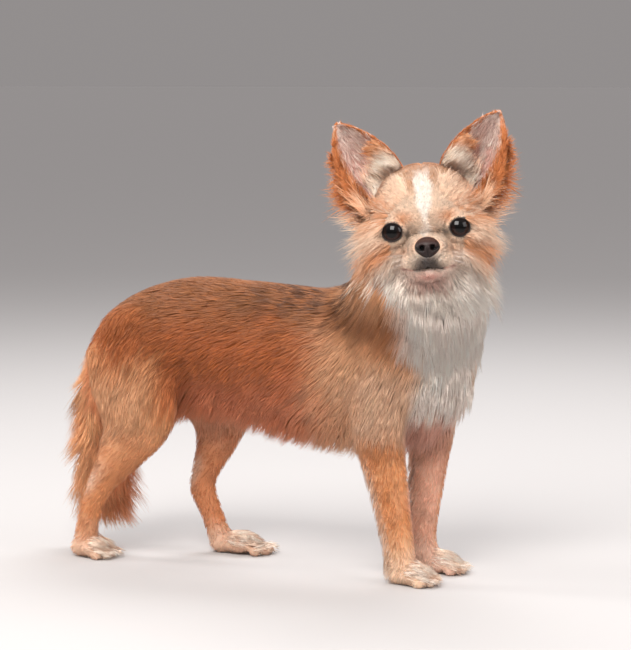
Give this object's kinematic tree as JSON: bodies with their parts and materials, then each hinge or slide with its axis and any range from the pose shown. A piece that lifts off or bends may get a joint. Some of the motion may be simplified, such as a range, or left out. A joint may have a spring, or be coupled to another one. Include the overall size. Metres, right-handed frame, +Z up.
{
  "type": "long-haired chihuahua figure",
  "caption": "Life-size still model of a standing long-haired chihuahua, head turned to its right, plumed tail hanging.",
  "frame": {"origin": "on the floor, under the middle of the model's box", "axes": "+X the way the dog's body heads, +Y its left side, +Z up"},
  "size_m": [0.3646, 0.1148, 0.3235],
  "materials": {
    "tan_coat": "golden tan long coat, lying flat, darker along the back",
    "cream_coat": "cream to white soft coat with a white blaze and bib",
    "nose_leather": "dark brown, moist and pebbled",
    "eye": "wet, near black brown"
  },
  "bodies": {
    "root": {"torso": "tan_coat", "neck": "cream_coat", "head": "cream_coat", "nose": "nose_leather", "eye_right": "eye", "eye_left": "eye", "ear_right": "tan_coat", "ear_left": "tan_coat", "tail": "tan_coat", "foreleg_right": "tan_coat", "foreleg_left": "tan_coat", "hindleg_right": "tan_coat", "hindleg_left": "tan_coat", "forepaw_right": "cream_coat", "forepaw_left": "cream_coat", "hindpaw_right": "cream_coat", "hindpaw_left": "cream_coat"}
  },
  "joints": []
}
